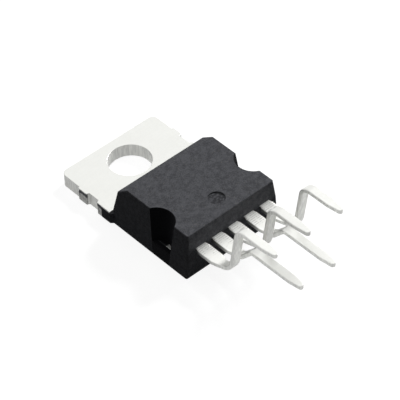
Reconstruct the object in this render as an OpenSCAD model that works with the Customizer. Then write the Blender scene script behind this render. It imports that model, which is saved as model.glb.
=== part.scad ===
// Five-lead power voltage regulator: a moulded package on a metal heat sink, with its leads
// formed into two staggered rows.
// The origin is on the mounting face, on the mounting hole's axis. +Y points to the tab's end,
// the leads run along -Y and +Z points out of the marked face. Lengths are in millimetres.

/* [Heat sink] */
// Thickness of the heat sink
header_t = 1.27; // [1.1:0.01:1.4]
// Width of the tab
tab_w = 10.15; // [9.8:0.05:10.4]
// Distance from the hole's axis to the tab's end
tab_end = 2.85; // [2.6:0.05:3.1]
// Length of the tab outside the moulding
tab_exposed = 6.35; // [6.1:0.05:6.6]
// Diameter of the mounting hole
hole_d = 3.8; // [3.5:0.05:3.9]
// Radius of the tab's end corners
tab_corner_r = 0.55; // [0.3:0.05:0.9]
// Width of the moulding's wall beside the heat sink, at the foot
header_cover = 0.5; // [0.4:0.05:0.7]
// Height of the step that locks the heat sink in the moulding
lock_h = 0.45; // [0.3:0.05:0.7]
// Width of that step
lock_w = 0.35; // [0.2:0.05:0.5]
// Depth of the groove across the heat sink under the moulding
groove_depth = 0.25; // [0.15:0.05:0.4]

/* [Tie-bar stubs] */
// Distance from the hole's axis back to the middle of the sheared stub
stub_back = 0.05; // [0:0.05:0.2]
// Width of the sheared stub beside the hole
stub_w = 1; // [0.7:0.05:1.2]
// Distance that a sheared stub stands out of the tab's side
stub_out = 0.15; // [0.05:0.01:0.25]
// Depth of the waist between the stub and the shoulder
waist_depth = 0.1; // [0.05:0.01:0.3]
// Length of the waist
waist_l = 1.4; // [1:0.05:1.5]
// Length of the waist's sloping ends
waist_slope = 0.12; // [0.05:0.01:0.2]
// Length of the bare metal on the shoulder
shoulder_l = 0.5; // [0.4:0.05:0.8]
// Thickness of the shoulder's lip over the moulding's ear
lip_t = 0.2; // [0.15:0.01:0.35]
// Depth of the recess that the ear fills
ear_depth = 0.15; // [0.1:0.01:0.25]
// Depth of the groove torn into a sheared edge
tear_depth = 0.1; // [0.06:0.01:0.18]
// Distance from the tab's top to that groove
tear_top = 0.1; // [0.05:0.01:0.2]

/* [Moulding] */
// Distance from the tab's side in to the moulding's side, at the foot
body_inset = 0.075; // [0:0.005:0.15]
// Height of the moulding above the mounting face
body_h = 4.45; // [4.3:0.05:4.7]
// Length of the moulding, from the tab to the lead face's parting line
body_l = 9.15; // [9:0.05:9.4]
// Draft of the long sides, in degrees
side_draft = 4.9; // [3:0.1:6]
// Draft of the face over the tab, in degrees
front_draft = 13; // [5:0.5:14]
// Draft of the lead face above the leads, in degrees
rear_draft = 5.5; // [3:0.5:7]
// Draft of the lead face below the leads, in degrees
foot_draft = 2; // [0:0.5:4]
// Length of the bevel over the tab
bevel_l = 1.18; // [0.8:0.02:1.4]
// Height of the bevel over the tab
bevel_h = 0.97; // [0.7:0.01:1.2]
// Radius of the moulding's upright corners
corner_r = 0.15; // [0.12:0.01:0.4]
// Radius of the moulding's top edges
edge_r = 0.08; // [0.05:0.01:0.1]

/* [Notches and ejector mark] */
// Radius of a side notch at the top
notch_r = 1.6; // [1.4:0.05:1.8]
// Radius of a side notch at its floor
notch_floor_r = 1.15; // [1:0.05:1.3]
// Depth of a side notch at the top
notch_depth = 0.92; // [0.7:0.01:1.1]
// Distance from the lead face to the notches' axes
notch_back = 3.2; // [3:0.05:3.6]
// Diameter of the ejector mark
mark_d = 1.45; // [1:0.05:1.8]
// Depth of the ejector mark
mark_depth = 0.12; // [0.05:0.01:0.2]
// Distance from the lead face to the ejector mark's centre
mark_back = 1.85; // [1.4:0.05:2.2]

/* [Leads] */
// Distance between neighbouring leads
lead_pitch = 1.72; // [1.65:0.01:1.78]
// Thickness of a lead
lead_t = 0.4; // [0.35:0.01:0.45]
// Width of a lead
lead_w = 0.81; // [0.8:0.01:1]
// Width of a lead where it leaves the moulding
root_w = 1.1; // [1:0.01:1.15]
// Width of a lead where the dam bar was cut off
dam_w = 1.25; // [1.15:0.01:1.3]
// Length of that wide part
dam_l = 1.55; // [1.4:0.05:1.8]
// Height of a lead's middle where it leaves the moulding
lead_level = 2.65; // [2.5:0.05:2.8]
// Height of the near row's middle
near_row = 4.16; // [3.8:0.02:4.5]
// Distance between the two rows
row_gap = 3.89; // [3.5:0.01:4.2]
// Distance from the hole's axis to the tips of the far row
far_tip = 21.4; // [21:0.05:21.8]
// Distance from the hole's axis to the tips of the near row
near_tip = 22.4; // [22:0.05:22.8]
// Length of a tip's taper
tip_taper = 1.3; // [0.8:0.05:1.6]
// Radius of a tip's rounded end
tip_r = 0.27; // [0.15:0.01:0.35]

/* [Lead bends] */
// Distance from the lead face to the first bend of a tall lead
tall_start = 2.3; // [2.1:0.02:2.6]
// Angle of a tall lead's riser, in degrees
tall_angle = 80; // [75:1:88]
// Radius of a tall lead's first bend
tall_r1 = 1.75; // [1.4:0.05:1.9]
// Radius of a tall lead's second bend
tall_r2 = 1.05; // [0.7:0.05:1.2]
// Distance from the lead face to the first bend of a low lead
low_start = 2.6; // [2.3:0.02:2.9]
// Angle of a low lead's slope, in degrees
low_angle = 48; // [40:1:55]
// Radius of a low lead's first bend
low_r1 = 0.9; // [0.6:0.05:1.1]
// Radius of a low lead's second bend
low_r2 = 0.5; // [0.4:0.05:0.8]

/* [Inside the moulding] */
// Length of a lead's bond pad
pad_l = 1.05; // [0.8:0.05:1.1]
// Width of a lead's bond pad
pad_w = 1.3; // [1.2:0.05:1.35]
// Width of the neck that anchors a lead
neck_w = 0.8; // [0.7:0.05:0.9]
// Distance from the lead face to the inner end of a bond pad
pad_back = 2.1; // [1.95:0.05:2.15]
// Distance from the lead face to the heat sink's rear edge
header_back = 1.85; // [1.8:0.05:2.1]
// Size of the silicon die across the package
die_w = 3.4; // [2.8:0.1:4]
// Size of the silicon die along the package
die_l = 3; // [2.4:0.1:3.4]
// Thickness of the silicon die
die_t = 0.3; // [0.2:0.02:0.4]
// Thickness of the solder under the die
solder_t = 0.06; // [0.03:0.01:0.1]
// Width of the solder that shows round the die
solder_out = 0.15; // [0.05:0.05:0.3]
// Diameter of a bond wire
wire_d = 0.25; // [0.2:0.01:0.3]
// Radius of a bond wire's arc, as a share of its span
wire_bow = 0.6; // [0.55:0.01:0.8]

/* [Hidden] */
$fn = 96;
// Straight pieces that draw a lead's bend, and a quarter of its rounded tip
bend_steps = 12;
tip_steps = 6;
// Overlap of cutting shapes past a face
over = 1;
// Depth to which joined shapes run into each other
sink = 0.3;

// Places along the package
front_y = tab_end - tab_exposed;
face_y = front_y - body_l;
header_rear = face_y + header_back;
stub_start = -stub_back + stub_w / 2;
stub_end = stub_start - stub_w;
waist_end = stub_end - waist_l;
shoulder_end = waist_end - shoulder_l;

// Widths across the package
body_w = tab_w - 2 * body_inset;
header_w = body_w - 2 * header_cover;
stub_x = tab_w / 2 + stub_out;
waist_x = tab_w / 2 - waist_depth;
ear_x = tab_w / 2 - ear_depth;

// The moulding's outline
bevel_z = body_h - bevel_h;
function side_x(z) = body_w / 2 - tan(side_draft) * z;
function front_at(z) = front_y - tan(front_draft) * max(z - header_t, 0);
function rear_at(z) = face_y + (z > lead_level ? tan(rear_draft) : -tan(foot_draft)) * (z - lead_level);
top_x = side_x(body_h);
notch_x = top_x - notch_depth + notch_r;
notch_y = face_y + notch_back;

// Leads, in their order from -X
LEADS = ["input", "limit", "ground", "reference", "output"];
MIDDLE = "ground";
function place_of(lead) = search([lead], LEADS)[0];
function steps_out(lead) = place_of(lead) - place_of(MIDDLE);
function lead_x(lead) = steps_out(lead) * lead_pitch;
function is_tall(lead) = steps_out(lead) % 2 == 0;
function reversed(list) = [for (i = [len(list) - 1:-1:0]) list[i]];
root_taper = 0.3;
dam_taper = 0.8;
root_back = 0.3;
neck_taper = 0.15;
foot_rise = header_t - lead_t / 2;
foot_r = 0.45;
foot_angle = 60;

// Die and bond pads
die_y = (front_y + header_rear) / 2;
die_top = header_t + solder_t + die_t;
pad_top = lead_level + lead_t / 2;
wire_edge = 0.35;
// Length, width and height of a wire's flattened foot, in wire diameters
wire_foot = [2, 1.3, 0.8];

// A path is a list of straight runs [length, 0] and bends [radius, angle]. A place on it is
// [distance outwards, height, heading], and a bend with a positive angle turns upwards.
function run_end(s, e) = [s[0] + e[0] * cos(s[2]), s[1] + e[0] * sin(s[2]), s[2]];
function bend_side(e) = sign(e[1]);
function bend_centre(s, e) =
    [s[0] - bend_side(e) * e[0] * sin(s[2]), s[1] + bend_side(e) * e[0] * cos(s[2])];
function bend_end(s, e) = let (c = bend_centre(s, e), a = s[2] + e[1])
    [c[0] + bend_side(e) * e[0] * sin(a), c[1] - bend_side(e) * e[0] * cos(a), a];
function step_end(s, e) = e[1] == 0 ? run_end(s, e) : bend_end(s, e);
function places(path, s) =
    [for (i = 0, p = s; i < len(path); p = step_end(p, path[i]), i = i + 1) p];

// Length of the straight part of an S-bend that climbs by rise, and its reach
function slope_l(rise, angle, r1, r2) = (rise - (r1 + r2) * (1 - cos(angle))) / sin(angle);
function s_reach(rise, angle, r1, r2) =
    (r1 + r2) * sin(angle) + slope_l(rise, angle, r1, r2) * cos(angle);
function s_bend(rise, angle, r1, r2) =
    [[r1, angle], [slope_l(rise, angle, r1, r2), 0], [r2, -angle]];

// Lays a flat drawing, distance outwards by height, into the package's side view
module side_on() {
    rotate([90, 0, -90]) children();
}

// Points along one element of a path, d to the left of its middle line
function element_points(s, e, d) = e[1] == 0
    ? [[s[0] - d * sin(s[2]), s[1] + d * cos(s[2])]]
    : let (c = bend_centre(s, e), r = bend_side(e) * e[0] - d)
        [for (i = [0:bend_steps - 1]) let (a = s[2] + e[1] * i / bend_steps)
            [c[0] + r * sin(a), c[1] - r * cos(a)]];
function strip_edge(path, at, d) =
    [for (i = [0:len(path) - 1]) each element_points(at[i], path[i], d)];

// A strip of lead metal, w wide, bent along a path
module bent_strip(path, start, w) {
    steps = concat(path, [[0, 0]]);
    at = places(steps, start);
    side_on() linear_extrude(w, center = true)
        polygon(concat(strip_edge(steps, at, lead_t / 2), reversed(strip_edge(steps, at, -lead_t / 2))));
}

// Path of a lead outside the moulding, from the lead face to its tip
function outer_path(lead) =
    let (tall = is_tall(lead),
        level = tall ? near_row + row_gap : near_row,
        tip = tall ? far_tip : near_tip,
        first = tall ? tall_start : low_start,
        angle = tall ? tall_angle : low_angle,
        r1 = tall ? tall_r1 : low_r1,
        r2 = tall ? tall_r2 : low_r2,
        rise = level - lead_level,
        last = tip + face_y - first - s_reach(rise, angle, r1, r2))
    concat([[first, 0]], s_bend(rise, angle, r1, r2), [[last, 0]]);

// Half of a lead's plan outside the moulding, as [distance outwards, half width]
function outer_plan(lead) = let (tip = is_tall(lead) ? far_tip : near_tip)
    concat([[-face_y, root_w / 2],
        [-face_y + root_taper, dam_w / 2],
        [-face_y + root_taper + dam_l, dam_w / 2],
        [-face_y + root_taper + dam_l + dam_taper, lead_w / 2],
        [tip - tip_taper, lead_w / 2]],
        [for (i = [0:tip_steps]) let (a = 90 * i / tip_steps)
            [tip - tip_r + tip_r * sin(a), tip_r * cos(a)]]);

// Half of a bond pad's plan, from its inner end to the lead face
function pad_plan() =
    [[-face_y - pad_back, pad_w / 2],
    [-face_y - pad_back + pad_l, pad_w / 2],
    [-face_y - pad_back + pad_l + neck_taper, neck_w / 2],
    [-face_y - root_back - neck_taper, neck_w / 2],
    [-face_y - root_back, root_w / 2]];

// A bent lead, cut to its plan, of which half is given as [distance outwards, half width]
module cut_lead(lead, path, start, half) {
    left = [for (p = half) [p[1], -p[0]]];
    right = [for (p = reversed(half)) if (p[1] > 0.001) [-p[1], -p[0]]];
    translate([lead_x(lead), 0, 0]) intersection() {
        bent_strip(path, start, pad_w + over);
        translate([0, 0, -over]) linear_extrude(near_row + row_gap + 2 * over)
            polygon(concat(left, right));
    }
}

// A lead that ends in a bond pad inside the moulding
module pad_lead(lead) {
    path = concat([[pad_back, 0]], outer_path(lead));
    cut_lead(lead, path, [-face_y - pad_back, lead_level, 0], concat(pad_plan(), outer_plan(lead)));
}

// The middle lead climbs from the heat sink's rear edge, of which it is a part
module ground_lead() {
    rise = lead_level - foot_rise;
    reach = s_reach(rise, foot_angle, foot_r, foot_r);
    path = concat([[sink, 0]], s_bend(rise, foot_angle, foot_r, foot_r),
        [[header_back - reach, 0]], outer_path(MIDDLE));
    half = concat([[-header_rear - sink, root_w / 2]], outer_plan(MIDDLE));
    cut_lead(MIDDLE, path, [-header_rear - sink, foot_rise, 0], half);
}

// A plate from y0 back to y1, x wide on each side
module plate(x, y0, y1, t) {
    translate([-x, y1, 0]) cube([2 * x, y0 - y1, t]);
}

// The tab with its rounded end corners, the sheared stubs and the waists
module tab() {
    x = tab_w / 2;
    plate(x - tab_corner_r, tab_end, stub_start, header_t);
    plate(x, tab_end - tab_corner_r, stub_start, header_t);
    for (side = [-1, 1]) translate([side * (x - tab_corner_r), tab_end - tab_corner_r, 0])
        cylinder(h = header_t, r = tab_corner_r);
    half = [[stub_x, stub_start], [stub_x, stub_end], [waist_x, stub_end - waist_slope],
        [waist_x, waist_end + waist_slope], [stub_x, waist_end], [stub_x, front_y]];
    linear_extrude(header_t)
        polygon(concat(half, [for (p = reversed(half)) [-p[0], p[1]]]));
}

// Torn groove along the sheared edge between y0 and y1
module tear(y0, y1) {
    top = header_t - tear_top;
    depth = tear_depth;
    for (side = [-1, 1]) translate([side * stub_x, y0, 0]) rotate([90, 0, 0])
        linear_extrude(y0 - y1) polygon([[side * over, top + over], [-side * depth, top - depth],
            [-side * depth, top - 2 * depth], [side * over, top - 3 * depth - over]]);
}

module heat_sink_with_ground_lead() {
    color([0.86, 0.86, 0.84]) difference() {
        union() {
            tab();
            translate([0, 0, lock_h])
                plate(header_w / 2, front_y + sink, header_rear, header_t - lock_h);
            plate(header_w / 2 - lock_w, front_y + sink, header_rear + lock_w, lock_h + sink);
            ground_lead();
        }
        translate([0, 0, -over]) cylinder(h = header_t + 2 * over, d = hole_d);
        lock_groove();
        ear_seats();
        tear(stub_start, stub_end);
        tear(waist_end, shoulder_end);
    }
}

// V groove across the heat sink, filled by the moulding
module lock_groove() {
    y = front_y - 2 * groove_depth;
    translate([-header_w, y, header_t]) rotate([90, 0, 90]) linear_extrude(2 * header_w)
        polygon([[-groove_depth - over, over], [0, -groove_depth], [groove_depth + over, over]]);
}

// Recesses under the shoulders' lips
module ear_seats() {
    length = shoulder_end - front_y + over;
    for (side = [-1, 1]) translate([side * (ear_x + over), shoulder_end - length / 2, -over])
        translate([-over, -length / 2, 0]) cube([2 * over, length, header_t - lip_t + over]);
}

// Ears of the moulding that fill those recesses and fade into its sides
module ears() {
    inner = ear_x - sink;
    outer = side_x(header_t);
    faded = front_y - (stub_x - outer);
    for (side = [-1, 1]) linear_extrude(header_t - lip_t) polygon([
        [side * ear_x, shoulder_end], [side * stub_x, shoulder_end], [side * stub_x, front_y],
        [side * outer, faded], [side * inner, faded], [side * inner, front_y],
        [side * ear_x, front_y]]);
}

// Both front or both rear corners of the moulding, at height z
module corners(y, toward, z) {
    for (side = [-1, 1])
        translate([side * (side_x(z) - corner_r), y + toward * corner_r, z]) children();
}

// A thin slice of an upright corner
module slice() {
    cylinder(h = edge_r, r = corner_r, $fn = 32);
}

// A corner with a rounded rim. Its top lies edge_r above its middle.
module rim() {
    rotate_extrude($fn = 32) intersection() {
        translate([corner_r - edge_r, 0]) circle(edge_r, $fn = 16);
        translate([0, -edge_r]) square(2 * corner_r);
    }
}

module moulding_blank() {
    top = body_h - edge_r;
    hull() {
        corners(front_y, -1, 0) slice();
        corners(front_y, -1, header_t) slice();
        corners(front_at(bevel_z), -1, bevel_z) rim();
        corners(front_at(bevel_z) - bevel_l, -1, top) rim();
        corners(rear_at(top), 1, top) rim();
        corners(face_y, 1, lead_level) slice();
        corners(rear_at(0), 1, 0) slice();
    }
}

// Conical side notches that reach down to the heat sink
module notches() {
    deep = body_h - header_t;
    grow = (notch_r - notch_floor_r) / deep * over;
    for (side = [-1, 1]) translate([side * notch_x, notch_y, header_t])
        cylinder(h = deep + over, r1 = notch_floor_r, r2 = notch_r + grow);
}

module moulded_body() {
    color([0.13, 0.13, 0.14]) difference() {
        union() {
            moulding_blank();
            ears();
        }
        notches();
        translate([0, face_y + mark_back, body_h - mark_depth])
            cylinder(h = mark_depth + over, d = mark_d);
        heat_sink_with_ground_lead();
        for (lead = LEADS) if (lead != MIDDLE) {
            pad_lead(lead);
            bond_wire(lead);
        }
        die_solder();
        silicon_die();
    }
}

module die_solder() {
    color([0.6, 0.6, 0.62]) translate([0, die_y, header_t + solder_t / 2])
        cube([die_w + 2 * solder_out, die_l + 2 * solder_out, solder_t], center = true);
}

module silicon_die() {
    color([0.3, 0.32, 0.38]) translate([0, die_y, header_t + solder_t + die_t / 2])
        cube([die_w, die_l, die_t], center = true);
}

// A wire that rises from the die, arcs over and lands on a lead's pad, with a flattened foot at
// each end. The arc lies in the upright plane through both feet.
module bond_wire(lead) {
    spread = (die_w / 2 - wire_edge) / 2;
    from = [steps_out(lead) * spread, die_y - die_l / 2 + wire_edge, die_top + wire_d / 2];
    to = [lead_x(lead), face_y + pad_back - pad_l / 2, pad_top + wire_d / 2];
    flat = norm([to.x - from.x, to.y - from.y]);
    chord = norm(to - from);
    r = wire_bow * chord;
    tilt = asin((to.z - from.z) / chord);
    half = asin(chord / 2 / r);
    $fn = 24;
    foot = wire_d * wire_foot;
    color([0.8, 0.8, 0.8]) translate(from) rotate([0, 0, atan2(to.y - from.y, to.x - from.x)]) {
        rotate([90, 0, 0]) rotate([0, 0, tilt]) translate([chord / 2, -r * cos(half), 0])
            rotate([0, 0, 90 - half]) rotate_extrude(angle = 2 * half)
                translate([r, 0]) circle(d = wire_d);
        for (p = [[0, 0], [flat, to.z - from.z]])
            translate([p[0] - foot.x / 2, -foot.y / 2, p[1] - wire_d / 2]) cube(foot);
    }
}

module input_lead() color([0.88, 0.88, 0.87]) pad_lead("input");
module limit_lead() color([0.88, 0.88, 0.87]) pad_lead("limit");
module reference_lead() color([0.88, 0.88, 0.87]) pad_lead("reference");
module output_lead() color([0.88, 0.88, 0.87]) pad_lead("output");
module input_bond_wire() bond_wire("input");
module limit_bond_wire() bond_wire("limit");
module reference_bond_wire() bond_wire("reference");
module output_bond_wire() bond_wire("output");

heat_sink_with_ground_lead();
input_lead();
limit_lead();
reference_lead();
output_lead();
die_solder();
silicon_die();
input_bond_wire();
limit_bond_wire();
reference_bond_wire();
output_bond_wire();
moulded_body();
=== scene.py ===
import math

import bmesh
import bpy
from mathutils import Matrix, Vector, noise


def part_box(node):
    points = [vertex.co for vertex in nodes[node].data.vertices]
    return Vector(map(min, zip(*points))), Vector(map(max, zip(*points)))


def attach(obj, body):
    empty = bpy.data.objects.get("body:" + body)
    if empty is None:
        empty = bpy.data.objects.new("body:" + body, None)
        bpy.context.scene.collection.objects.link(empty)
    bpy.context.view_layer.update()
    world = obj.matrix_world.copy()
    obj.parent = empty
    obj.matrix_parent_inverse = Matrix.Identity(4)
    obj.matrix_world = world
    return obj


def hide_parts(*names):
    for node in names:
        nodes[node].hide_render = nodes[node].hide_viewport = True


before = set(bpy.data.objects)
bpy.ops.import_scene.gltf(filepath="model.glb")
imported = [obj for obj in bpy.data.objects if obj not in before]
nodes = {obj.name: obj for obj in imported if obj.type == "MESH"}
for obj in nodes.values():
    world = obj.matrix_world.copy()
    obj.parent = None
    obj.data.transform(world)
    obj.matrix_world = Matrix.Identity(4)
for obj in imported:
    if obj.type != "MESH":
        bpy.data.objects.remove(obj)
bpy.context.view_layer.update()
mm = 0.001
print("frame loaded:", len(nodes), "nodes")


class Sock:
    # A node's output, with Python's operators as Math nodes
    def __init__(self, tree, socket):
        self.tree = tree
        self.socket = socket

    def math(self, operation, *values, clamp=False):
        node = self.tree.nodes.new("ShaderNodeMath")
        node.operation = operation
        node.use_clamp = clamp
        for slot, value in zip(node.inputs, values):
            if isinstance(value, Sock):
                self.tree.links.new(value.socket, slot)
            else:
                slot.default_value = value
        return Sock(self.tree, node.outputs[0])

    def __add__(self, other):
        return self.math("ADD", self, other)

    def __radd__(self, other):
        return self.math("ADD", other, self)

    def __sub__(self, other):
        return self.math("SUBTRACT", self, other)

    def __rsub__(self, other):
        return self.math("SUBTRACT", other, self)

    def __mul__(self, other):
        return self.math("MULTIPLY", self, other)

    def __rmul__(self, other):
        return self.math("MULTIPLY", other, self)

    def __truediv__(self, other):
        return self.math("DIVIDE", self, other)

    def __pow__(self, other):
        return self.math("POWER", self, other)

    def __neg__(self):
        return self.math("MULTIPLY", self, -1.0)

    def __abs__(self):
        return self.math("ABSOLUTE", self)

    def atLeast(self, other):
        return self.math("MAXIMUM", self, other)

    def atMost(self, other):
        return self.math("MINIMUM", self, other)

    def sine(self):
        return self.math("SINE", self)

    def cosine(self):
        return self.math("COSINE", self)

    def clamped(self):
        return self.math("ADD", self, 0.0, clamp=True)

    # 0 where this is below low, 1 above high and smooth between them
    def rise(self, low, high):
        node = self.tree.nodes.new("ShaderNodeMapRange")
        node.interpolation_type = "SMOOTHSTEP"
        self.tree.links.new(self.socket, node.inputs["Value"])
        node.inputs["From Min"].default_value = low
        node.inputs["From Max"].default_value = high
        return Sock(self.tree, node.outputs[0])

    # 1 between low and high, with soft ends
    def band(self, low, high, soft):
        return self.rise(low - soft, low + soft) - self.rise(high - soft, high + soft)


class Tree:
    # A node tree, to which one method adds any node
    def __init__(self, tree):
        self.tree = tree

    def node(self, kind, settings=None, values=None, output=0):
        node = self.tree.nodes.new(kind)
        for key, value in (settings or {}).items():
            setattr(node, key, value)
        for key, value in (values or {}).items():
            if isinstance(value, Sock):
                self.tree.links.new(value.socket, node.inputs[key])
            else:
                node.inputs[key].default_value = value
        return Sock(self.tree, node.outputs[output]) if node.outputs else None

    def split(self, vector):
        node = self.tree.nodes.new("ShaderNodeSeparateXYZ")
        self.tree.links.new(vector.socket, node.inputs[0])
        return [Sock(self.tree, out) for out in node.outputs]


class Finish(Tree):
    # One material. Its places are in millimetres, on the piece's own coordinates.
    def __init__(self, name):
        self.material = bpy.data.materials.new(name)
        self.material.use_nodes = True
        self.material.node_tree.nodes.clear()
        super().__init__(self.material.node_tree)
        metres = self.node("ShaderNodeTexCoord", output="Object")
        self.at = self.stretched(metres, (1000.0, 1000.0, 1000.0))
        self.x, self.y, self.z = self.split(self.at)
        facing = self.node("ShaderNodeTexCoord", output="Normal")
        self.facingX, self.facingY, self.facingZ = self.split(facing)

    def stretched(self, vector, scale):
        return self.node("ShaderNodeVectorMath", {"operation": "MULTIPLY"}, {0: vector, 1: scale})

    def noise(self, scale, detail=2.0, rough=0.5, vector=None):
        values = {"Vector": vector or self.at, "Scale": scale, "Detail": detail, "Roughness": rough}
        return self.node("ShaderNodeTexNoise", {"noise_dimensions": "3D"}, values)

    def specks(self, scale):
        values = {"Vector": self.at, "Scale": scale}
        return self.node("ShaderNodeTexVoronoi", {"feature": "F1"}, values)

    def mix(self, factor, first, second):
        values = {0: factor, 6: first, 7: second}
        return self.node("ShaderNodeMix", {"data_type": "RGBA"}, values, output=2)

    def relief(self, height, distance, under=None):
        values = {"Height": height, "Distance": distance, "Strength": 1.0}
        if under:
            values["Normal"] = under
        return self.node("ShaderNodeBump", None, values)

    def done(self, **values):
        named = {key.replace("_", " "): value for key, value in values.items()}
        surface = self.node("ShaderNodeBsdfPrincipled", None, named)
        self.node("ShaderNodeOutputMaterial", None, {"Surface": surface})
        return self.material


def boxOf(name):
    low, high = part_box(name)
    return Vector(low) / mm, Vector(high) / mm


# Camera at the photograph's angle
camera = {
    "place": (-84.35, -108.2, 129.55),  # millimetres from the mounting hole
    "toward": (0.51, -8.15, 2.0),
    "lens": 203.6,
    "sensor": 36.0,
    "roll": -2.6,  # degrees
    "nearest": 0.001,  # metres
    "farthest": 10.0,
}


def placeCamera():
    data = bpy.data.cameras.new("camera")
    data.lens = camera["lens"]
    data.sensor_width = camera["sensor"]
    data.clip_start = camera["nearest"]
    data.clip_end = camera["farthest"]
    shot = bpy.data.objects.new("camera", data)
    bpy.context.collection.objects.link(shot)
    place = Vector(camera["place"]) * mm
    ahead = (Vector(camera["toward"]) * mm - place).normalized()
    right = ahead.cross(Vector((0, 0, 1))).normalized()
    up = right.cross(ahead)
    turn = math.radians(camera["roll"])
    tiltedRight = right * math.cos(turn) + up * math.sin(turn)
    tiltedUp = tiltedRight.cross(ahead)
    axes = Matrix((tiltedRight, tiltedUp, -ahead)).transposed()
    shot.matrix_world = Matrix.Translation(place) @ axes.to_4x4()
    bpy.context.scene.camera = shot


placeCamera()
print("camera placed")

# Side notches of the moulding, through which the heat sink shows, with painted shade on their walls
# and on the metal in them. Millimetres.
notch = {
    "axis": 5.3,  # from the middle plane
    "back": 3.2,  # from the lead face
    "topRadius": 1.6,
    "floorRadius": 1.15,
    "floor": 1.27,  # level of the heat sink's top
    "rim": (0.01, 0.05),  # outside the wall, where the painted shade ends
    # painted shade of the notches, and its share on their walls
    "shade": (0.004, 0.004, 0.005, 1.0),
    "shadeShare": 0.96,
    "metalShade": (-0.3, -0.1),  # over which the painted shade on the metal rises to full, from the notch's axis
    "metalShadeLeast": 0.35,  # share of the painted shade where the metal still shows
}


# The first result is 1 inside the notches, the second the distance from their axes to the tab
def insideNotch(s):
    low, high = boxOf("moulded_body")
    widening = (notch["topRadius"] - notch["floorRadius"]) / (high.z - notch["floor"])
    radius = notch["floorRadius"] + (s.z - notch["floor"]) * widening
    across = abs(s.x) - notch["axis"]
    along = s.y - (low.y + notch["back"])
    away = (across * across + along * along) ** 0.5
    return 1 - (away - radius).rise(*notch["rim"]), along


# Black epoxy of the moulding
epoxy = {
    "dark": (0.0605, 0.0615, 0.0675, 1.0),
    "light": (0.107, 0.109, 0.1185, 1.0),
    "mottleScale": 2.6,  # per millimetre, as are the other scales
    "grainScale": 9.0,
    "pitScale": 14.0,
    "mottleShare": 0.55,  # in the tone, the rest being the grain
    "contrast": (0.36, 0.64),  # noise values between which the tone goes from dark to light
    "filler": (0.13, 0.125, 0.115, 1.0),
    "fillerScale": 4.5,
    "fillerSize": (0.1, 0.24),
    "fillerPatches": (0.42, 0.58),
    "markDark": (0.03, 0.03, 0.033, 1.0),
    "markBack": 1.85,  # from the lead face to the ejector mark, in millimetres
    "markRadius": 0.725,
    "markRim": 0.06,
    "markDeep": 0.3,  # below the top, where the mark's tone ends and where it is full
    "markShallow": 0.2,
    "markScale": 4.0,
    "markPatches": (0.44, 0.56),
    "markShare": 0.75,
    "roughness": 0.62,
    "pitRoughness": 0.2,
    "pitShare": 0.6,  # in the relief, the rest being the grain
    "relief": 0.000012,  # metres
    "specular": 0.02,
}


def makeEpoxy():
    s = Finish("blackEpoxy")
    mottle = s.noise(epoxy["mottleScale"], 3.0, 0.65)
    grain = s.noise(epoxy["grainScale"], 2.0, 0.6)
    pits = s.noise(epoxy["pitScale"], 2.0, 0.7)
    tone = mottle * epoxy["mottleShare"] + grain * (1 - epoxy["mottleShare"])
    colour = s.mix(tone.rise(*epoxy["contrast"]), epoxy["dark"], epoxy["light"])
    fleck = 1 - s.specks(epoxy["fillerScale"]).rise(*epoxy["fillerSize"])
    fleck = fleck * grain.rise(*epoxy["fillerPatches"])
    colour = s.mix(fleck, colour, epoxy["filler"])
    low, high = boxOf("moulded_body")
    markY = s.y - (low.y + epoxy["markBack"])
    fromMark = (s.x * s.x + markY * markY) ** 0.5
    inMark = 1 - fromMark.rise(epoxy["markRadius"] - epoxy["markRim"], epoxy["markRadius"])
    inMark = inMark * s.z.rise(high.z - epoxy["markDeep"], high.z - epoxy["markShallow"])
    patches = s.noise(epoxy["markScale"], 2.0, 0.6).rise(*epoxy["markPatches"])
    colour = s.mix(inMark * patches * epoxy["markShare"], colour, epoxy["markDark"])
    # Painted shade inside the notches and along their rims
    inside, along = insideNotch(s)
    colour = s.mix(inside * notch["shadeShare"], colour, notch["shade"])
    rough = epoxy["roughness"] + pits * epoxy["pitRoughness"]
    height = pits * epoxy["pitShare"] + grain * (1 - epoxy["pitShare"])
    surface = s.relief(height, epoxy["relief"])
    return s.done(Base_Color=colour, Roughness=rough, Normal=surface,
                  Specular_IOR_Level=epoxy["specular"])


# Tin plating of the heat sink and the leads
plating = {
    "bright": (0.90, 0.905, 0.87, 1.0),
    "dull": (0.86, 0.865, 0.83, 1.0),
    "edge": (0.71, 0.715, 0.69, 1.0),  # of the streaks on sheared sides
    "torn": (0.15, 0.15, 0.15, 1.0),
    # painted shadow under the stubs' lips
    "lipShadow": (0.035, 0.037, 0.043, 1.0),
    "sinkMetallic": 0.42,
    "leadMetallic": 0.55,
    "cloudScale": 0.9,
    "grainScale": 7.0,
    "rollScale": (0.7, 9.0, 3.0),  # streaks from rolling, across, along and through the strip
    "shearScale": (6.0, 6.0, 0.8),  # upright lines on the sheared sides
    "sideFacing": (0.25, 0.6),  # upright share of a normal, from a side to a flat face
    "cloudShare": 0.3,  # in the tone, the rest being the rolling streaks
    "grainShare": 0.4,
    "contrast": (0.3, 0.66),
    "shearContrast": (0.32, 0.68),
    "roughness": 0.26,
    "grainRoughness": 0.12,
    "sideRoughness": 0.08,
    "grainHeight": 0.45,
    "rollHeight": 0.12,
    "shearHeight": 1.2,
    "relief": 0.000005,  # metres
}


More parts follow.
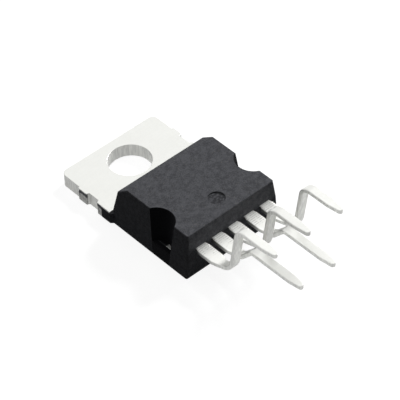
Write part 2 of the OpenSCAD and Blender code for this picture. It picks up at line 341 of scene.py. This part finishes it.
class Plated(Finish):
    def base(self):
        cloud = self.noise(plating["cloudScale"], 2.0, 0.5)
        grain = self.noise(plating["grainScale"], 3.0, 0.6)
        rolled = self.noise(1.0, 2.0, 0.6, self.stretched(self.at, plating["rollScale"]))
        shear = self.noise(1.0, 2.0, 0.6, self.stretched(self.at, plating["shearScale"]))
        side = 1 - abs(self.facingZ).rise(*plating["sideFacing"])
        rollShare = 1 - plating["cloudShare"] - plating["grainShare"]
        tone = cloud * plating["cloudShare"] + grain * plating["grainShare"] + rolled * rollShare
        colour = self.mix(tone.rise(*plating["contrast"]), plating["dull"], plating["bright"])
        lines = side * shear.rise(*plating["shearContrast"])
        self.colour = self.mix(lines, colour, plating["edge"])
        rough = plating["roughness"] + grain * plating["grainRoughness"]
        self.rough = rough + side * plating["sideRoughness"]
        flatHeight = grain * plating["grainHeight"] + rolled * plating["rollHeight"] * (1 - side)
        self.high = flatHeight + shear * side * plating["shearHeight"]

    def plated(self, metallic):
        surface = self.relief(self.high, plating["relief"])
        return self.done(Base_Color=self.colour, Roughness=self.rough, Metallic=metallic,
                         Normal=surface)


# Stamped marks across a lead, beside the moulding, and painted shade on its sides there
press = {
    "start": 0.1,  # of the marks from the lead face, in millimetres, as are the next three
    "reach": 1.5,
    "soft": 0.1,
    "pitch": 0.21,
    "topFacing": (0.7, 0.9),
    "lineWidth": (-0.1, 0.8),  # of a sine along the lead, from no line to a full one
    "patchScale": (3.5, 1.2, 1.0),
    "patches": (0.42, 0.55),
    "share": 0.42,
    "depth": 1.2,
    "shade": (0.28, 0.28, 0.27, 1.0),
    "paintedSideShade": (0.12, 0.12, 0.125, 1.0),  # painted shade on the sides, darkest where they leave the moulding
    "sideFacing": (0.5, 0.8),
    "sideSoft": 0.01,
    "sideReach": 2.6,
}


def addPressMarksAndSideShade(s):
    face = -boxOf("moulded_body")[0].y
    out = -s.y - face
    near = out.band(press["start"], press["reach"], press["soft"])
    near = near * s.facingZ.rise(*press["topFacing"])
    line = (out * (math.tau / press["pitch"])).sine().rise(*press["lineWidth"])
    patch = s.noise(1.0, 2.0, 0.6, s.stretched(s.at, press["patchScale"])).rise(*press["patches"])
    mark = near * line * patch
    s.colour = s.mix(mark * press["share"], s.colour, press["shade"])
    # Painted shade on the lead's sides, darkest where they leave the moulding
    shadedSides = abs(s.facingX).rise(*press["sideFacing"])
    shadedSides = shadedSides * s.y.rise(-face + press["sideSoft"], -face - press["sideSoft"])
    shadedSides = shadedSides * (1 - (out / press["sideReach"]).clamped())
    s.colour = s.mix(shadedSides, s.colour, press["paintedSideShade"])
    s.high = s.high - mark * press["depth"]


# Sheared stubs and shoulders of the tab's sides, with a painted shadow under their lips
stub = {
    "side": 5.075,  # half the tab's width, in millimetres, as are the next seven
    "tornFrom": 0.015,  # beyond the tab's side, where the torn tone begins and where it is full
    "tornFull": 0.05,
    "lipTop": 1.17,
    "lipShadowLow": 0.86,
    "lipShadowHigh": 1.19,
    "soft": 0.07,
    "lipShadowWaver": 0.12,
    "tornScale": 3.2,
    "streakScale": (5.0, 5.0, 1.1),
    "lumpShare": 0.6,  # in the torn tone, the rest being the streaks
    "contrast": (0.38, 0.66),
    "tornLeast": 0.42,  # share of the torn tone all over, and where it is darkest
    "tornMost": 0.92,
    "tornRoughness": 0.2,
    "tornHeight": 4.0,
    "tornFaces": 4,
    "dent": 0.07,  # depth of the torn faces' dents, in millimetres
    "dentFrom": 0.03,  # beyond the tab's side, where the faces with dents lie
    "dentBorder": 0.15,  # over which the dents fade out
    "dentRaise": 0.6,  # added to the noise, so that most of the face is dented
    "dentScale": 2.6,
    "dentCuts": 12,
}


def makeHeatSinkPlating():
    s = Plated("platedHeatSink")
    s.base()
    out = abs(s.x).rise(stub["side"] + stub["tornFrom"], stub["side"] + stub["tornFull"])
    lump = s.noise(stub["tornScale"], 3.0, 0.7)
    streak = s.noise(1.0, 3.0, 0.6, s.stretched(s.at, stub["streakScale"]))
    dark = lump * stub["lumpShare"] + streak * (1 - stub["lumpShare"])
    dark = dark.rise(*stub["contrast"])
    torn = out * (stub["tornLeast"] + dark * (stub["tornMost"] - stub["tornLeast"]))
    torn = torn * (1 - s.z.rise(stub["lipTop"], stub["lipTop"] + stub["soft"]))
    # Painted shadow under the stubs' lips, with a wavering lower edge
    level = s.z + dark * stub["lipShadowWaver"]
    lipShadow = out * level.band(stub["lipShadowLow"], stub["lipShadowHigh"], stub["soft"])
    s.colour = s.mix(torn, s.colour, plating["torn"])
    s.colour = s.mix(lipShadow, s.colour, plating["lipShadow"])
    s.rough = s.rough + torn * stub["tornRoughness"]
    s.high = s.high + lump * torn * stub["tornHeight"]
    # Painted shade on the metal in the notches, weaker towards the lead face
    inside, along = insideNotch(s)
    metalShade = along.rise(*notch["metalShade"])
    dimmed = notch["metalShadeLeast"] + metalShade * (1 - notch["metalShadeLeast"])
    s.colour = s.mix(inside * dimmed, s.colour, notch["shade"])
    addPressMarksAndSideShade(s)
    return s.plated(plating["sinkMetallic"])


def makeLeadPlating():
    s = Plated("platedLead")
    s.base()
    addPressMarksAndSideShade(s)
    return s.plated(plating["leadMetallic"])


# Plain finishes of the pieces inside the moulding
inner = {
    "contrast": (0.35, 0.65),
    "grainRoughness": 0.1,
    "relief": 0.000004,  # metres
}
silicon = {
    "dark": (0.10, 0.11, 0.15, 1.0),
    "light": (0.16, 0.18, 0.24, 1.0),
    "scale": 1.5,
    "roughness": 0.15,
    "metallic": 0.0,
}
solder = {
    "dark": (0.50, 0.50, 0.51, 1.0),
    "light": (0.66, 0.66, 0.66, 1.0),
    "scale": 3.0,
    "roughness": 0.4,
    "metallic": 1.0,
}
wire = {
    "dark": (0.76, 0.76, 0.77, 1.0),
    "light": (0.86, 0.86, 0.86, 1.0),
    "scale": 6.0,
    "roughness": 0.25,
    "metallic": 1.0,
}


def makeInner(name, look):
    s = Finish(name)
    grain = s.noise(look["scale"], 3.0, 0.6)
    colour = s.mix(grain.rise(*inner["contrast"]), look["dark"], look["light"])
    rough = look["roughness"] + grain * inner["grainRoughness"]
    surface = s.relief(grain, inner["relief"])
    return s.done(Base_Color=colour, Roughness=rough, Metallic=look["metallic"], Normal=surface)


blackEpoxy = makeEpoxy()
platedHeatSink = makeHeatSinkPlating()
platedLead = makeLeadPlating()
innerFinish = {
    "silicon_die": makeInner("silicon", silicon),
    "die_solder": makeInner("solder", solder),
}
bondWire = makeInner("aluminiumWire", wire)
for name, node in nodes.items():
    if name == "moulded_body":
        finish = blackEpoxy
    elif name.endswith("bond_wire"):
        finish = bondWire
    elif name.endswith("_lead"):
        finish = platedLead
    else:
        finish = innerFinish.get(name, platedHeatSink)
    for slot in node.material_slots:
        slot.material = finish
print("materials made")

# A lead is a flat blank, formed by two bends. Millimetres and degrees.
lead = {
    "thickness": 0.4,
    "width": 0.81,
    "rootWidth": 1.1,
    "damWidth": 1.25,
    "padWidth": 1.3,
    "neckWidth": 0.8,
    "padLength": 1.05,
    "rootBack": 0.3,
    "neckTaper": 0.15,
    "rootTaper": 0.3,
    "damLength": 1.55,
    "damTaper": 0.8,
    "tipTaper": 1.3,
    "tipRadius": 0.27,
    "edgeRadius": 0.1,
    "groundBuried": 0.25,  # of the middle lead, which climbs from the heat sink
    "rings": 340,  # along a lead, and the points of each ring
    "around": 44,
    "cornerPoints": 4,
    "tipShare": 0.06,  # of the rings, for the rounded tip
    "tipTurn": 86.0,
    "weld": 0.0005,
    "smoothAngle": 40.0,
}
tallBend = {"first": 2.3, "angle": 80.0, "nearRadius": 1.75, "farRadius": 1.05}
lowBend = {"first": 2.6, "angle": 48.0, "nearRadius": 0.9, "farRadius": 0.5}
leadInputs = ("Across", "Start", "Face", "Tip", "Level", "First Bend", "Second Bend",
              "Near Radius", "Far Radius", "Angle", "Thickness", "Width", "Root Width",
              "Dam Width", "Pad Width", "Neck Width", "Tip Radius", "Edge Radius")


# A bend from a start along the blank, which turns up where way is 1 and down where it is -1
def bent(along, high, start, radius, angle, way):
    lifted = high * way
    past = along - start
    turned = (past / radius).atLeast(0.0).atMost(angle)
    rest = past - turned * radius
    farther = start + (radius - lifted) * turned.sine() + rest * turned.cosine()
    higher = radius - (radius - lifted) * turned.cosine() + rest * turned.sine()
    return farther, higher * way


# A width that changes evenly between the stops, given as [distance along, width]
def widthAlong(along, stops):
    width = stops[0][1]
    for (place, before), (end, after) in zip(stops, stops[1:]):
        width = width + ((along - place) / (end - place)).clamped() * (after - before)
    return width


def makeLeadTree():
    group = bpy.data.node_groups.new("formedLead", "GeometryNodeTree")
    group.interface.new_socket("Lead", in_out="OUTPUT", socket_type="NodeSocketGeometry")
    for name in leadInputs:
        group.interface.new_socket(name, in_out="INPUT", socket_type="NodeSocketFloat")
    group.interface.new_socket("Metal", in_out="INPUT", socket_type="NodeSocketMaterial")
    t = Tree(group)
    given = group.nodes.new("NodeGroupInput")
    size = {name: Sock(group, given.outputs[name]) for name in (*leadInputs, "Metal")}

    line = t.node("GeometryNodeCurvePrimitiveLine", None, {"Start": (0, 0, 0), "End": (0, -1, 0)})
    path = t.node("GeometryNodeResampleCurve", {"mode": "COUNT"},
                  {"Curve": line, "Count": lead["rings"]})
    strip = t.node("GeometryNodeCurvePrimitiveQuadrilateral", {"mode": "RECTANGLE"},
                   {"Width": size["Width"], "Height": size["Thickness"]})
    corners = {"Curve": strip, "Count": lead["cornerPoints"], "Radius": size["Edge Radius"]}
    strip = t.node("GeometryNodeFilletCurve", {"mode": "POLY"}, corners)
    strip = t.node("GeometryNodeResampleCurve", {"mode": "COUNT"},
                   {"Curve": strip, "Count": lead["around"]})
    bar = t.node("GeometryNodeCurveToMesh", None,
                 {"Curve": path, "Profile Curve": strip, "Fill Caps": True})

    across, along, high = t.split(t.node("GeometryNodeInputPosition"))
    share = -along
    body = 1 - lead["tipShare"]
    straight = (share / body).clamped()
    turn = ((share - body) / lead["tipShare"]).clamped() * math.radians(lead["tipTurn"])
    face, tip = size["Face"], size["Tip"]
    reach = tip - size["Tip Radius"] - size["Start"]
    out = size["Start"] + straight * reach + size["Tip Radius"] * turn.sine()
    padEnd = face - lead["rootBack"] - 2 * lead["neckTaper"]
    damStart = face + lead["rootTaper"]
    damEnd = damStart + lead["damLength"]
    width = widthAlong(out, [
        (size["Start"] + lead["padLength"], size["Pad Width"]),
        (size["Start"] + lead["padLength"] + lead["neckTaper"], size["Neck Width"]),
        (padEnd + lead["neckTaper"], size["Neck Width"]),
        (padEnd + 2 * lead["neckTaper"], size["Root Width"]),
        (face, size["Root Width"]),
        (damStart, size["Dam Width"]),
        (damEnd, size["Dam Width"]),
        (damEnd + lead["damTaper"], size["Width"]),
        (tip - lead["tipTaper"], size["Width"]),
        (tip - size["Tip Radius"], 2 * size["Tip Radius"]),
    ])
    width = width * turn.cosine()
    out, high = bent(out, high, size["Second Bend"], size["Far Radius"], size["Angle"], -1)
    out, high = bent(out, high, size["First Bend"], size["Near Radius"], size["Angle"], 1)
    placed = t.node("ShaderNodeCombineXYZ", None, {
        0: size["Across"] + across / size["Width"] * width, 1: -out, 2: size["Level"] + high})
    metres = t.node("ShaderNodeVectorMath", {"operation": "SCALE"}, {0: placed, "Scale": mm})
    formed = t.node("GeometryNodeSetPosition", None, {"Geometry": bar, "Position": metres})
    single = t.node("GeometryNodeRealizeInstances", None, {"Geometry": formed})
    plated = t.node("GeometryNodeSetMaterial", None,
                    {"Geometry": single, "Material": size["Metal"]})
    t.node("NodeGroupOutput", None, {0: plated})
    return group


# Bakes an object's modifiers into a plain mesh
def bakedMesh(piece, name):
    bpy.context.view_layer.update()
    ready = piece.evaluated_get(bpy.context.evaluated_depsgraph_get())
    mesh = bpy.data.meshes.new_from_object(ready)
    mesh.name = name
    return mesh


# Faces that lie square to an axis stay flat, and the others are smooth up to an angle in degrees
def smooth(mesh, angle):
    squareShare = 0.9999  # of the normal along one axis
    mesh.set_sharp_from_angle(angle=math.radians(angle))
    square = [max(abs(part) for part in face.normal) > squareShare for face in mesh.polygons]
    mesh.polygons.foreach_set("use_smooth", [not flat for flat in square])


def cleaned(mesh):
    shell = bmesh.new()
    shell.from_mesh(mesh)
    bmesh.ops.remove_doubles(shell, verts=shell.verts, dist=lead["weld"] * mm)
    bmesh.ops.recalc_face_normals(shell, faces=shell.faces)
    shell.to_mesh(mesh)
    shell.free()
    smooth(mesh, lead["smoothAngle"])
    return mesh


def formLead(tree, name, node, form, across, start, padWidth, metal):
    low, high = boxOf(node)
    face = -boxOf("moulded_body")[0].y
    exitLevel = boxOf("input_lead")[0].z + lead["thickness"] / 2
    rise = high.z - lead["thickness"] / 2 - exitLevel
    angle = math.radians(form["angle"])
    radii = form["nearRadius"] + form["farRadius"]
    slope = (rise - radii * (1 - math.cos(angle))) / math.sin(angle)
    reach = radii * math.sin(angle) + slope * math.cos(angle)
    firstBend = face + form["first"]
    secondBend = firstBend + form["nearRadius"] * angle + slope
    flatTip = -low.y + radii * angle + slope - reach
    given = {
        "Across": across, "Start": start, "Face": face, "Tip": flatTip, "Level": exitLevel,
        "First Bend": firstBend, "Second Bend": secondBend, "Near Radius": form["nearRadius"],
        "Far Radius": form["farRadius"], "Angle": angle, "Thickness": lead["thickness"],
        "Width": lead["width"], "Root Width": lead["rootWidth"], "Dam Width": lead["damWidth"],
        "Pad Width": padWidth, "Neck Width": lead["neckWidth"],
        "Tip Radius": lead["tipRadius"], "Edge Radius": lead["edgeRadius"], "Metal": metal,
    }
    holder = bpy.data.objects.new(name, bpy.data.meshes.new(name))
    bpy.context.collection.objects.link(holder)
    forming = holder.modifiers.new("forming", "NODES")
    forming.node_group = tree
    for item in tree.interface.items_tree:
        if item.in_out == "INPUT":
            forming[item.identifier] = given[item.name]
    mesh = cleaned(bakedMesh(holder, name))
    holder.modifiers.remove(forming)
    holder.data = mesh
    return holder


def standsFor(piece, node):
    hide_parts(node)
    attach(piece, "root")


leadTree = makeLeadTree()
leadForms = {
    "input_lead": tallBend,
    "limit_lead": lowBend,
    "reference_lead": lowBend,
    "output_lead": tallBend,
}
for node, form in leadForms.items():
    low, high = boxOf(node)
    middle = (low.x + high.x) / 2
    piece = formLead(leadTree, node.replace("_lead", "Lead"), node, form, middle, -high.y,
                     lead["padWidth"], platedLead)
    standsFor(piece, node)
    print("formed", piece.name, len(piece.data.polygons), "faces")

# The heat sink, with its edges rounded as stamping leaves them, and its own lead. Millimetres
# and degrees.
stamping = {
    "weld": 0.001,
    "flatAngle": 1.0,  # within which faces are joined
    "edge": 0.045,
    "segments": 3,
    "bevelAngle": 40.0,
    "smoothAngle": 32.0,
}


# Dents the torn faces below the stubs' lips, less towards their borders
def dentStubs(shell):
    side = (stub["side"] + stub["dentFrom"]) * mm
    top = stub["lipTop"] * mm
    moved = []
    outer = [face for face in shell.faces if abs(face.normal.x) > 0.99]
    torn = [face for face in outer
            if all(abs(vert.co.x) > side and vert.co.z < top for vert in face.verts)]
    torn.sort(key=lambda face: face.calc_area(), reverse=True)
    for face in torn[:stub["tornFaces"]]:
        spots = [vert.co / mm for vert in face.verts]
        low = Vector([min(spot[axis] for spot in spots) for axis in range(3)])
        high = Vector([max(spot[axis] for spot in spots) for axis in range(3)])
        cut = bmesh.ops.subdivide_edges(shell, edges=face.edges[:], cuts=stub["dentCuts"],
                                        use_grid_fill=True)
        for vert in {part for part in cut["geom_inner"] if isinstance(part, bmesh.types.BMVert)}:
            spot = vert.co / mm
            border = min(spot.y - low.y, high.y - spot.y, spot.z - low.z, high.z - spot.z)
            share = min(max(border / stub["dentBorder"], 0.0), 1.0)
            hollow = noise.noise(spot * stub["dentScale"]) + stub["dentRaise"]
            depth = stub["dent"] * share * min(max(hollow, 0.0), 1.0)
            vert.co.x -= math.copysign(depth * mm, spot.x)
            moved.append(depth)
    print("dented the stubs at", len(moved), "points, deepest", round(max(moved), 3), "mm")


def makeHeatSink():
    name = "heat_sink_with_ground_lead"
    face = -boxOf("moulded_body")[0].y
    cut = -(face - lead["groundBuried"]) * mm
    shell = bmesh.new()
    shell.from_mesh(nodes[name].data)
    bmesh.ops.remove_doubles(shell, verts=shell.verts, dist=stamping["weld"] * mm)
    everything = shell.verts[:] + shell.edges[:] + shell.faces[:]
    bmesh.ops.bisect_plane(shell, geom=everything, dist=1e-7, plane_co=(0, cut, 0),
                           plane_no=(0, -1, 0), clear_outer=True)
    bmesh.ops.holes_fill(shell, edges=[edge for edge in shell.edges if edge.is_boundary])
    flat = math.radians(stamping["flatAngle"])
    bmesh.ops.dissolve_limit(shell, angle_limit=flat, verts=shell.verts, edges=shell.edges)
    mesh = bpy.data.meshes.new("heatSink")
    shell.to_mesh(mesh)
    shell.free()
    holder = bpy.data.objects.new("heatSink", mesh)
    bpy.context.collection.objects.link(holder)
    rounding = holder.modifiers.new("rounding", "BEVEL")
    rounding.width = stamping["edge"] * mm
    rounding.segments = stamping["segments"]
    rounding.limit_method = "ANGLE"
    rounding.angle_limit = math.radians(stamping["bevelAngle"])
    rounded = bakedMesh(holder, "heatSink")
    holder.modifiers.remove(rounding)
    # The middle lead has no bond pad
    ground = formLead(leadTree, "groundLead", name, tallBend, 0.0, face - lead["groundBuried"],
                      lead["neckWidth"], platedHeatSink)
    whole = bmesh.new()
    whole.from_mesh(rounded)
    dentStubs(whole)
    whole.from_mesh(ground.data)
    whole.to_mesh(rounded)
    whole.free()
    bpy.data.objects.remove(ground)
    smooth(rounded, stamping["smoothAngle"])
    rounded.materials.clear()
    rounded.materials.append(platedHeatSink)
    rounded.polygons.foreach_set("material_index", [0] * len(rounded.polygons))
    holder.data = rounded
    standsFor(holder, name)
    print("rounded", holder.name, len(rounded.polygons), "faces")


makeHeatSink()

# Floor, world and lamps. Metres and watts.
studio = {
    "floorTone": 0.08,  # of the light that the floor sends back to the part
    "floorWhite": 0.88,  # of what a ray from the camera, gloss or glass sees there
    "floorShade": 0.25,  # added to it where the lamps reach the floor
    "floorReach": 1.2,  # from the middle to each side
    "floorLevel": -0.00002,
    "ambient": 0.055,
    "keyPlace": (0.66, 0.045, 0.5),
    "keySize": 0.23,
    "keyPower": 6.4,
    "fillPlace": (0.03, 0.03, 0.7),
    "fillSize": 0.7,
    "fillPower": 1.55,
    "aim": (0, -0.008, 0.002),  # of both lamps
}


def grey(level):
    return (level, level, level, 1.0)


def seenRays(t):
    camera = t.node("ShaderNodeLightPath", output="Is Camera Ray")
    glossy = t.node("ShaderNodeLightPath", output="Is Glossy Ray")
    through = t.node("ShaderNodeLightPath", output="Is Transmission Ray")
    return camera.atLeast(glossy).atLeast(through)


def makeFloor():
    reach = studio["floorReach"]
    level = studio["floorLevel"]
    corners = [(x * reach, y * reach, level) for x, y in ((-1, -1), (1, -1), (1, 1), (-1, 1))]
    mesh = bpy.data.meshes.new("floor")
    mesh.from_pydata(corners, [], [(0, 1, 2, 3)])
    floor = bpy.data.objects.new("floor", mesh)
    bpy.context.collection.objects.link(floor)
    s = Finish("floor")
    plain = s.node("ShaderNodeBsdfDiffuse", None, {"Color": grey(studio["floorTone"])})
    shaded = s.node("ShaderNodeBsdfDiffuse", None, {"Color": grey(studio["floorShade"])})
    white = s.node("ShaderNodeEmission", None,
                   {"Color": grey(studio["floorWhite"]), "Strength": 1.0})
    seen = s.node("ShaderNodeAddShader", None, {0: shaded, 1: white})
    shown = s.node("ShaderNodeMixShader", None, {0: seenRays(s), 1: plain, 2: seen})
    s.node("ShaderNodeOutputMaterial", None, {"Surface": shown})
    mesh.materials.append(s.material)


def makeLamp(name, place, size, watts):
    data = bpy.data.lights.new(name, "AREA")
    data.shape = "SQUARE"
    data.size = size
    data.energy = watts
    lamp = bpy.data.objects.new(name, data)
    bpy.context.collection.objects.link(lamp)
    away = Vector(place) - Vector(studio["aim"])
    turned = away.to_track_quat("Z", "Y").to_matrix().to_4x4()
    lamp.matrix_world = Matrix.Translation(place) @ turned


def makeWorld():
    world = bpy.data.worlds.new("studio")
    bpy.context.scene.world = world
    world.use_nodes = True
    world.node_tree.nodes.clear()
    t = Tree(world.node_tree)
    soft = t.node("ShaderNodeBackground", None,
                  {"Color": grey(1.0), "Strength": studio["ambient"]})
    white = t.node("ShaderNodeBackground", None, {"Color": grey(1.0), "Strength": 1.0})
    shown = t.node("ShaderNodeMixShader", None, {0: seenRays(t), 1: soft, 2: white})
    t.node("ShaderNodeOutputWorld", None, {"Surface": shown})


makeFloor()
makeWorld()
makeLamp("key", studio["keyPlace"], studio["keySize"], studio["keyPower"])
makeLamp("fill", studio["fillPlace"], studio["fillSize"], studio["fillPower"])
bpy.context.scene.view_settings.view_transform = "Standard"
print("studio lit")
